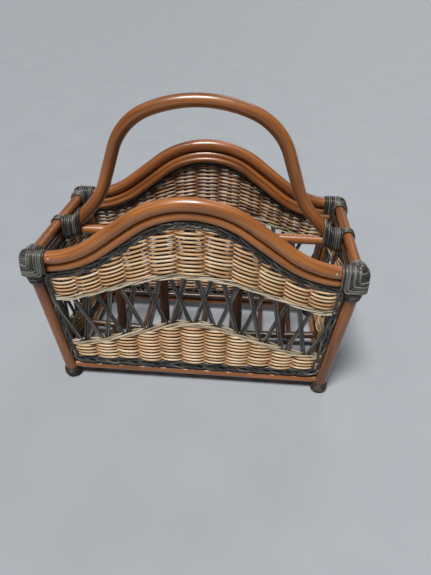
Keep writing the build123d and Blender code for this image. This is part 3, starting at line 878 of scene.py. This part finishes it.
def weaver_rows(side, panel, row_height, last, points):
    """Rows of weavers: depth = crest * tanh(f cos(pi k)) / tanh(f), turned over in every second row.

    Towards the panel's edges the depth fades, so that the ends run inside the braid.
    """
    count = 60
    grid = np.linspace(0, half_width(panel, 0.3), 400)
    rows = np.arange(count)
    v = row_height(rows[:, None], grid[None, :])
    fits = (v < last(grid)[None, :]) & (grid[None, :] < half_width(panel, v) - 0.004)
    reach = np.where(fits, grid[None, :], 0).max(axis=1)
    rows = rows[reach > 0.012]
    reach = reach[reach > 0.012]
    u = np.linspace(-1, 1, points)[None, :] * reach[:, None]
    v = row_height(rows[:, None], u)
    k = u / bay(panel, v)
    crest = np.tanh(FLATNESS * np.cos(np.pi * k)) / math.tanh(FLATNESS)
    flip = np.where(rows % 2 == 0, 1.0, -1.0)[:, None]
    phase = RNG.uniform(0, 2 * np.pi, (len(rows), 2))
    waver = 0.00022 * np.sin(u * 38 + phase[:, :1]) + 0.00014 * np.sin(u * 95 + phase[:, 1:])
    room = np.minimum(half_width(panel, v) - np.abs(u), top_edge(panel, u) - v)
    fade = np.clip((room - 0.010) / 0.006, 0, 1) * np.clip((last(u) - v) / 0.0035, 0, 1)
    w = flip * fade * panel["depth"] * crest * (1 + 0.06 * np.sin(u * 61 + phase[:, 1:]))
    path = lay(side, u, v + waver, w)
    thick = WEAVER_R * (1 + RNG.uniform(-0.07, 0.05, (len(rows), 1)) + 0.03 * np.sin(u * 50 + phase[:, :1]))
    # Each weaver is painted darker where it crosses between the stakes (painted shade, with some stain) and a
    # little lighter where it lies over them; the panel's painted light and shade is added, and the sides that
    # face into the weave get painted shade.
    shade = 0.8 * (np.abs(crest) - 0.75) + panel["shade"]
    return rods(path, thick, BOARDS[side][3], sides=8, shade=shade, painted_shade=1.5 * flip * fade * crest)


# %% Weave the bands
for side, panel in PANELS.items():
    long_side = side in SIDE_SIGNS
    points = 150 if long_side else 74

    def upper_row(row, u, panel=panel):
        return height(panel["upper"], u) + TWINE_WIDTH + (row + 0.35) * ROW_PITCH

    def lower_row(row, u, panel=panel):
        return BRAID_LOW + BRAID_LOW_WIDTH - 0.002 + (row + 0.4) * ROW_PITCH + 0 * u

    def upper_last(u, panel=panel):
        return top_edge(panel, u, 0.0068)

    def lower_last(u, panel=panel):
        return height(panel["lower"], u) - TWINE_WIDTH * 0.5

    batch = weaver_rows(side, panel, upper_row, upper_last, points)
    as_object(f"{side}_upper_weavers", [batch], CORE, [f"{side}_upper_weave"])
    batch = weaver_rows(side, panel, lower_row, lower_last, points)
    as_object(f"{side}_lower_weavers", [batch], CORE, [f"{side}_lower_weave"])

# %% [markdown]
# ### Stakes
# Four thin black rods stand side by side in each stake of the lower weave. Where the weave stops, two of
# them lean left and two right, cross their neighbours, and enter the upper weave at the next stakes. There
# the two pairs that meet slide together over a short height: their distance shrinks exponentially.

# %% Stakes
STAKE_R = 0.0018
PAIR_STEP = 0.0038
UPPER_SPREAD = 0.0075
CLOSING = 0.012  # the height in which the two pairs of a stake slide together


def stake_paths(side, panel):
    """Both legs of every stake: upright, across the open band, upright again and slowly closing."""
    found = []
    for index in range(-panel["stakes"], panel["stakes"] + 1):
        for lean in (-1, 1):
            for rod in (-0.5, 0.5):
                x = index * bay(panel, 0.1)
                low = float(height(panel["lower"], x))
                foot_v = np.linspace(BRAID_LOW + 0.004, low - 0.002, 10)
                foot_u = index * bay(panel, foot_v) + lean * PAIR_STEP + rod * PAIR_STEP
                target = index + lean
                head_x = target * bay(panel, 0.19) - lean * UPPER_SPREAD
                high = float(height(panel["upper"], head_x)) + 0.002
                t = np.linspace(0, 1, 16)[1:-1]
                end_u = target * bay(panel, high) - lean * UPPER_SPREAD + rod * PAIR_STEP
                leg_u = foot_u[-1] + (end_u - foot_u[-1]) * t
                leg_v = low - 0.002 + (high - low + 0.002) * t
                top = float(top_edge(panel, head_x, 0.0085))
                head_v = np.linspace(high, top, 14)
                close = np.exp(-(head_v - high) / CLOSING)
                spread = panel["apart"] + (UPPER_SPREAD - panel["apart"]) * close
                head_u = target * bay(panel, head_v) - lean * spread + rod * PAIR_STEP
                u = np.concatenate([foot_u, leg_u, head_u])
                v = np.concatenate([foot_v, leg_v, head_v])
                bow = np.concatenate([0 * foot_u, np.sin(np.pi * t / 2), 0.85 + 0.15 * close])
                w = -lean * 0.0017 * bow
                limit = half_width(panel, v) - 0.004 - 0.002 * rod
                u = np.clip(u, -limit, limit)
                found.append(lay(side, u, v, w))
    return np.stack(found)


for side, panel in PANELS.items():
    batch = rods(stake_paths(side, panel), STAKE_R, BOARDS[side][3], sides=8, painted_shade=flanks)
    as_object(f"{side}_crossed_rods", [batch], DYED, [f"{side}_stakes"])

# %% [markdown]
# ### Twined bands
# Two rows of pale twine lock each edge of the open band, with three rods in each. A rod passes in front of
# two stakes and behind the third, and slides from the row's lower side to its upper side while it is in
# front, so the three lie like a rope. A sine gives the slide and a squashed cosine the passing.

# %% Twine
TWINE_R = 0.0014
TWINE_GAP = 0.0040


def twine_batch(side, panel, curve, shift, points):
    """Two rows of three rods, with a turn p in three bays.

    depth = d * tanh(2.5 * (0.25 - cos(p))) and height = -h * sin(p)
    """
    reach = float(half_width(panel, height(curve, 0.2))) - 0.004
    u = np.linspace(-reach, reach, points)[None, :]
    middle = height(curve, u) + shift
    k = u / bay(panel, middle)
    rod = np.arange(6)[:, None]
    p = 2 * np.pi * (k + rod + 0.5 * (rod > 2)) / 3
    fade = np.clip((half_width(panel, middle) - np.abs(u) - 0.007) / 0.006, 0.1, 1)
    depth = 0.0038 * fade * np.tanh(2.5 * (0.25 - np.cos(p)))
    loose = 0.0005 * np.sin(u * 29 + RNG.uniform(0, 6, (6, 1)))
    v = middle + TWINE_GAP * np.where(rod > 2, 0.5, -0.5) - 0.0019 * np.sin(p) + loose
    return rods(lay(side, u + 0 * v, v, depth), TWINE_R, BOARDS[side][3], sides=8, painted_shade=flanks)


for side, panel in PANELS.items():
    points = 200 if side in SIDE_SIGNS else 100
    batches = [
        twine_batch(side, panel, panel["upper"], TWINE_WIDTH * 0.5, points),
        twine_batch(side, panel, panel["lower"], -TWINE_WIDTH * 0.5, points),
    ]
    as_object(f"{side}_twine", batches, TWINE, [f"{side}_twined_bands"])

# %% [markdown]
# ### Border braid
# A three-strand plait runs round the whole panel, and each strand is three black rods that follow one
# another a little behind. In a plait a strand swings from edge to edge once while it goes up and down
# twice: sideways sin(p), depth -sin(2p). One closed line round the panel carries all nine rods, so the
# plait has no ends.

# %% Braid
BRAID_ROD_R = 0.00155
BRAID_PERIOD = 0.105
FOLLOW = 0.085


def loop_line(panel):
    """The braid's closed centre line in the panel: up the left edge, over the top, down and back."""
    half = BRAID_WIDTH / 2
    low = BRAID_LOW + BRAID_LOW_WIDTH / 2
    reach = float(half_width(panel, 0.19)) - half
    u = np.linspace(-reach, reach, 160)
    top = np.stack([u, top_edge(panel, u, half)], axis=1)
    low_reach = float(half_width(panel, low)) - half
    corners = np.array([[low_reach, low], [-low_reach, low]])
    line = evenly(np.concatenate([top, corners, top[:1]]), 0.0016)[:-1]
    reach = 5
    kernel = np.ones(2 * reach + 1)
    for _ in range(3):
        padded = np.concatenate([line[-reach:], line, line[:reach]])
        total = np.stack([np.convolve(column, kernel, "valid") for column in padded.T], axis=1)
        line = total / len(kernel)
    return line


def braid_batch(side, panel):
    """Nine closed rods round the panel: three strands of three."""
    line = loop_line(panel)
    step = np.roll(line, -1, axis=0) - np.roll(line, 1, axis=0)
    tangent = step / np.linalg.norm(step, axis=1, keepdims=True)
    outward = np.stack([-tangent[:, 1], tangent[:, 0]], axis=1)
    along = run_of(line)
    total = along[-1] + np.linalg.norm(line[0] - line[-1])
    turns = round(total / BRAID_PERIOD)
    wide = np.clip((0.062 - line[:, 1]) / 0.016, 0, 1)
    swing = 0.0042 + 0.0024 * wide
    paths = []
    for strand in range(3):
        for rod in (-1, 0, 1):
            p = 2 * np.pi * (turns * along / total + strand / 3 + rod * FOLLOW)
            sideways = swing * np.sin(p)
            depth = -0.0026 * np.sin(2 * p)
            point = line + outward * sideways[:, None]
            paths.append(lay(side, point[:, 0], point[:, 1], depth))
    return rods(np.stack(paths), BRAID_ROD_R, BOARDS[side][3], sides=8, closed=True, painted_shade=flanks)


for side, panel in PANELS.items():
    batch = braid_batch(side, panel)
    as_object(f"{side}_plaited_border", [batch], DYED, [f"{side}_border_braid"])

# %% [markdown]
# ## Bindings
# Every joint is hidden under a skin of black strands wound tightly side by side. A strand that goes round
# two stacked poles follows an oblong: two half circles and two straight sides. At the corners, strands bent
# to a right angle sit inside one another and turn the corner, down to a few rings round the post. A rounded
# dark block fills the middle, where a real corner is packed with the ends of the strands, and painted shade
# makes it darker still.

# %% Hoops
HOOP_R = 0.0017
HOOP_PITCH = 0.0034


def groove(angle):
    """Painted shade on the sheltered sides of strands that lie next to each other: cos(a) to the fourth
    power.
    """
    return 0.9 * np.cos(angle) ** 4


def oblong(width, tall, points=48):
    """A closed oblong line, half circles of half the width at both ends."""
    half_side = max(tall - width, 0)
    angle = np.linspace(0, 2 * np.pi, points, endpoint=False)
    a = np.cos(angle) * width
    b = np.sin(angle) * width + np.where(np.sin(angle) >= 0, 1, -1) * half_side
    closed = np.stack([a, b], axis=1)
    step = (2 * np.pi * width + 4 * half_side) / points
    return resampled(evenly(np.concatenate([closed, closed[:1]]), step)[:-1], 44, closed=True)


def hoops_x(xs, y, z_mid, width, tall):
    """Oblong hoops across X at each of xs; their height, width and middle may change from one to the next."""
    found = []
    for x, z, a, b in np.broadcast(xs, z_mid, width, tall):
        line = oblong(a, b)
        found.append(np.stack([np.full(len(line), x), y + line[:, 0], z + line[:, 1]], axis=1))
    return np.stack(found)


def hoops_y(x, ys, z_mid, width, tall):
    """Oblong hoops across Y at each of ys."""
    line = oblong(width, tall)
    found = [np.stack([x + line[:, 0], np.full(len(line), y), z_mid + line[:, 1]], axis=1) for y in ys]
    return np.stack(found)


# %% Corner bindings
CORNER_R = 0.0122  # from the poles' axes to the strands that turn the corner
CORNER_Y = 0.1202
SIDE_STRAND_TOP = 0.2382
END_STRAND_TOP = 0.2350
DOME_RINGS = (
    (0.2228, 0.0124),
    (0.2261, 0.0122),
    (0.2293, 0.0113),
    (0.2322, 0.0096),
    (0.2345, 0.0072),
    (0.2361, 0.0042),
)  # height and radius


def arc(centre, radius, start, stop, count=9):
    """Points of a flat arc: centre + radius * (cos a, sin a), with a in degrees."""
    a = np.radians(np.linspace(start, stop, count))
    return np.stack([centre[0] + radius * np.cos(a), centre[1] + radius * np.sin(a)], axis=1)


def turning_strand(back, z, top_side, top_end):
    """A strand over the side pole, down its face, level round the corner, up and over the end rail.

    Local directions: a outwards along X, b outwards along Y. It lies at a = -back on the long side and
    at b = -back on the end, and at height z round the corner.
    """
    bend, round_r = 0.0034, 0.0092
    over = arc((0, top_side - CORNER_R), CORNER_R, 80, 0)
    down = np.stack([np.full(len(over), -back), over[:, 0], over[:, 1]], axis=1)
    turn = arc((-back + bend, z + bend), bend, 180, 270, 5)
    side_turn = np.stack([turn[:, 0], np.full(5, CORNER_R), turn[:, 1]], axis=1)
    corner = arc((CORNER_R - round_r, CORNER_R - round_r), round_r, 90, 0)
    level = np.stack([corner[:, 0], corner[:, 1], np.full(9, z)], axis=1)
    up = arc((0, top_end - CORNER_R), CORNER_R, 0, 80)
    end_up = np.stack([up[:, 0], np.full(len(up), -back), up[:, 1]], axis=1)
    end_turn = np.stack([np.full(5, CORNER_R), turn[::-1, 0], turn[::-1, 1]], axis=1)
    return evenly(np.concatenate([down, side_turn, level, end_turn, end_up]), 0.0016)


# %% A whole corner
def corner_batches(sign_x, sign_y):
    """Hoops beside the corner, bent strands nested round it, a dome of short ones, rings on the post."""
    corner_x = sign_x * CORNER_HALF[0]
    corner_y = sign_y * CORNER_Y
    middle = np.array([corner_x, corner_y, 0.0])
    flip = np.array([sign_x, sign_y, 1.0])
    xs = corner_x - sign_x * (0.0240 - HOOP_PITCH * np.arange(8))
    hoops = hoops_x(xs, corner_y, 0.2203, 0.0112, 0.0175)
    batches = [rods(hoops, HOOP_R, (1, 0, 0), closed=True, painted_shade=groove)]
    ys = corner_y - sign_y * (0.0240 - HOOP_PITCH * np.arange(8))
    hoops = hoops_y(corner_x - sign_x * 0.0002, ys, 0.2175, 0.0097, 0.0165)
    batches.append(rods(hoops, HOOP_R, (0, 1, 0), closed=True, painted_shade=groove))

    nested = []
    for j in range(6):
        back = 0.0186 - HOOP_PITCH * j
        strand = turning_strand(back, 0.2030 + 0.0033 * j, SIDE_STRAND_TOP, END_STRAND_TOP)
        nested.append(resampled(strand, 70))
    bent_strands = np.stack(nested) * flip + middle
    inwards = np.array([1.0, 1.0, 0.0]) * flip
    batches.append(rods(bent_strands, HOOP_R, np.cross(inwards, (0, 0, 1)) + (0, 0, 0.6), sides=10))

    turn = np.linspace(-0.36, 0.36, 25) * np.pi
    facing = math.atan2(sign_y, sign_x)
    dome = []
    for z, radius in DOME_RINGS:
        spot = np.stack([np.cos(turn + facing), np.sin(turn + facing), 0 * turn], axis=1) * radius
        spot[:, 2] = z + 0.0022 * (np.abs(turn) / turn[-1]) ** 2
        dome.append(middle * (1, 1, 0) + spot)
    batches.append(rods(np.stack(dome), HOOP_R, (0, 0, 1), painted_shade=groove))

    angle = np.linspace(0, 2 * np.pi, 44, endpoint=False)
    rings = []
    for level in range(5):
        z = 0.1878 + HOOP_PITCH * level
        ring = np.stack([np.cos(angle), np.sin(angle), 0 * angle], axis=1) * (0.0104 + 0.0005 * level)
        rings.append(post_axis(sign_x, sign_y, z) + ring)
    batches.append(rods(np.stack(rings), HOOP_R, (0, 0, 1), closed=True, painted_shade=groove))
    core = np.array([-0.002, -0.002, 0.2190]) * flip + middle
    batches.append(core_batch(core, (0.0118, 0.0118, 0.0180)))
    return batches


# %% A rounded block for the middle
def core_batch(centre, size, power=0.7):
    """A closed rounded block: a sphere whose sines and cosines are raised to a power below one."""
    rings, sides = 14, 24
    lat = np.linspace(-np.pi / 2, np.pi / 2, rings + 2)[1:-1][:, None]
    lon = (np.arange(sides) * 2 * np.pi / sides)[None, :]

    def soft(value):
        return np.sign(value) * np.abs(value) ** power

    x = soft(np.cos(lat)) * soft(np.cos(lon))
    y = soft(np.cos(lat)) * soft(np.sin(lon))
    z = soft(np.sin(lat)) + 0 * lon
    verts = np.stack([x, y, z], axis=-1).reshape(-1, 3) * np.array(size) + np.array(centre)
    here = np.arange(rings - 1)[:, None] * sides + np.arange(sides)[None, :]
    right = np.arange(rings - 1)[:, None] * sides + (np.arange(sides)[None, :] + 1) % sides
    quads = np.stack([here, right, right + sides, here + sides], -1).reshape(-1, 4)
    low = np.arange(sides)[::-1][None, :]
    high = (np.arange(sides) + (rings - 1) * sides)[None, :]
    uv = np.full((len(quads) * 4 + 2 * sides, 2), 0.4)
    # The block is given full painted shade, so its colour goes near black.
    return verts, [quads, low, high], uv, np.full(len(verts), 0.1), np.ones(len(verts))


for side, sign_y in SIDE_SIGNS.items():
    for end, sign_x in END_SIGNS.items():
        name = f"{side}_{end}_corner"
        as_object(f"{name}_wrap", corner_batches(sign_x, sign_y), STRAND, [f"{name}_binding"])


# %% Centre bindings
def centre_batches(sign):
    """A coil round the mid rail and the handle's foot, and a strap of four strands over the end rails."""
    xs = np.arange(9) * HOOP_PITCH + 0.1925
    foot = HANDLE_LINE[HANDLE_LINE[:, 0] > 0.17]
    order = np.argsort(foot[:, 0])
    middle = np.interp(xs, foot[order, 0], foot[order, 2])
    top = np.clip(middle + 0.0150, 0.2265, None)
    low = MID_RAIL_Z - MID_RAIL_R - 0.0012 - 0.009 * np.clip((xs - 0.1975) / 0.018, 0, 1)
    coil = hoops_x(sign * xs, 0.0, (top + low) / 2, 0.0108, (top - low) / 2)
    strap_y = (np.arange(4) - 1.5) * HOOP_PITCH
    strap = hoops_y(sign * 0.2292, strap_y, 0.2180, 0.0100, 0.0166)
    return [
        rods(coil, HOOP_R, (1, 0, 0), closed=True, painted_shade=groove),
        rods(strap, HOOP_R, (0, 1, 0), closed=True, painted_shade=groove),
    ]


for end, sign in END_SIGNS.items():
    as_object(f"{end}_handle_wrap", centre_batches(sign), STRAND, [f"{end}_centre_binding"])


# %% Foot caps
FOOT_RINGS = (
    (0.0018, 0.0086),
    (0.0038, 0.0105),
    (0.0067, 0.0112),
    (0.0098, 0.0112),
    (0.0128, 0.0107),
    (0.0154, 0.0098),
    (0.00175, 0.0058),
    (0.00175, 0.0030),
)  # height and radius; the last two close the spiral under the foot


def foot_batches(sign_x, sign_y):
    """Rings wound up the post's end, and a flat spiral of rings under it."""
    angle = np.linspace(0, 2 * np.pi, 40, endpoint=False)
    rings = []
    for z, radius in FOOT_RINGS:
        centre = post_axis(sign_x, sign_y, z)
        rings.append(centre + np.stack([np.cos(angle), np.sin(angle), 0 * angle], axis=1) * radius)
    core = core_batch(post_axis(sign_x, sign_y, 0.0085), (0.0108, 0.0108, 0.0070))
    return [rods(np.stack(rings), HOOP_R, (0, 0, 1), closed=True, painted_shade=groove), core]


for side, sign_y in SIDE_SIGNS.items():
    for end, sign_x in END_SIGNS.items():
        name = f"{side}_{end}_foot"
        as_object(f"{name}_wrap", foot_batches(sign_x, sign_y), FOOT, [f"{name}_cap"])


# %% [markdown]
# ## Nails
# The nail heads keep their own shape from the frame. They only need a metal finish with a little tarnish.

# %% Nail finish
def nail_finish():
    """Dull steel with cloudy tarnish."""
    material = bpy.data.materials.new("nail_steel")
    material.use_nodes = True
    tree = material.node_tree
    shader = tree.nodes["Principled BSDF"]
    place = node(tree, "ShaderNodeTexCoord").outputs["Object"]
    links = [("Vector", place), ("Scale", 900.0), ("Detail", 3.0)]
    cloud = node(tree, "ShaderNodeTexNoise", links).outputs[0]
    colour = ramp(tree, cloud, [(0.3, (0.30, 0.27, 0.23)), (0.7, (0.72, 0.70, 0.66))])
    tree.links.new(colour, shader.inputs["Base Color"])
    shader.inputs["Metallic"].default_value = 0.9
    shader.inputs["Roughness"].default_value = 0.35
    return material


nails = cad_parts["top_pole_nails"]
nails.data.materials.clear()
nails.data.materials.append(nail_finish())
print("nails:", nails.data.materials[0].name)
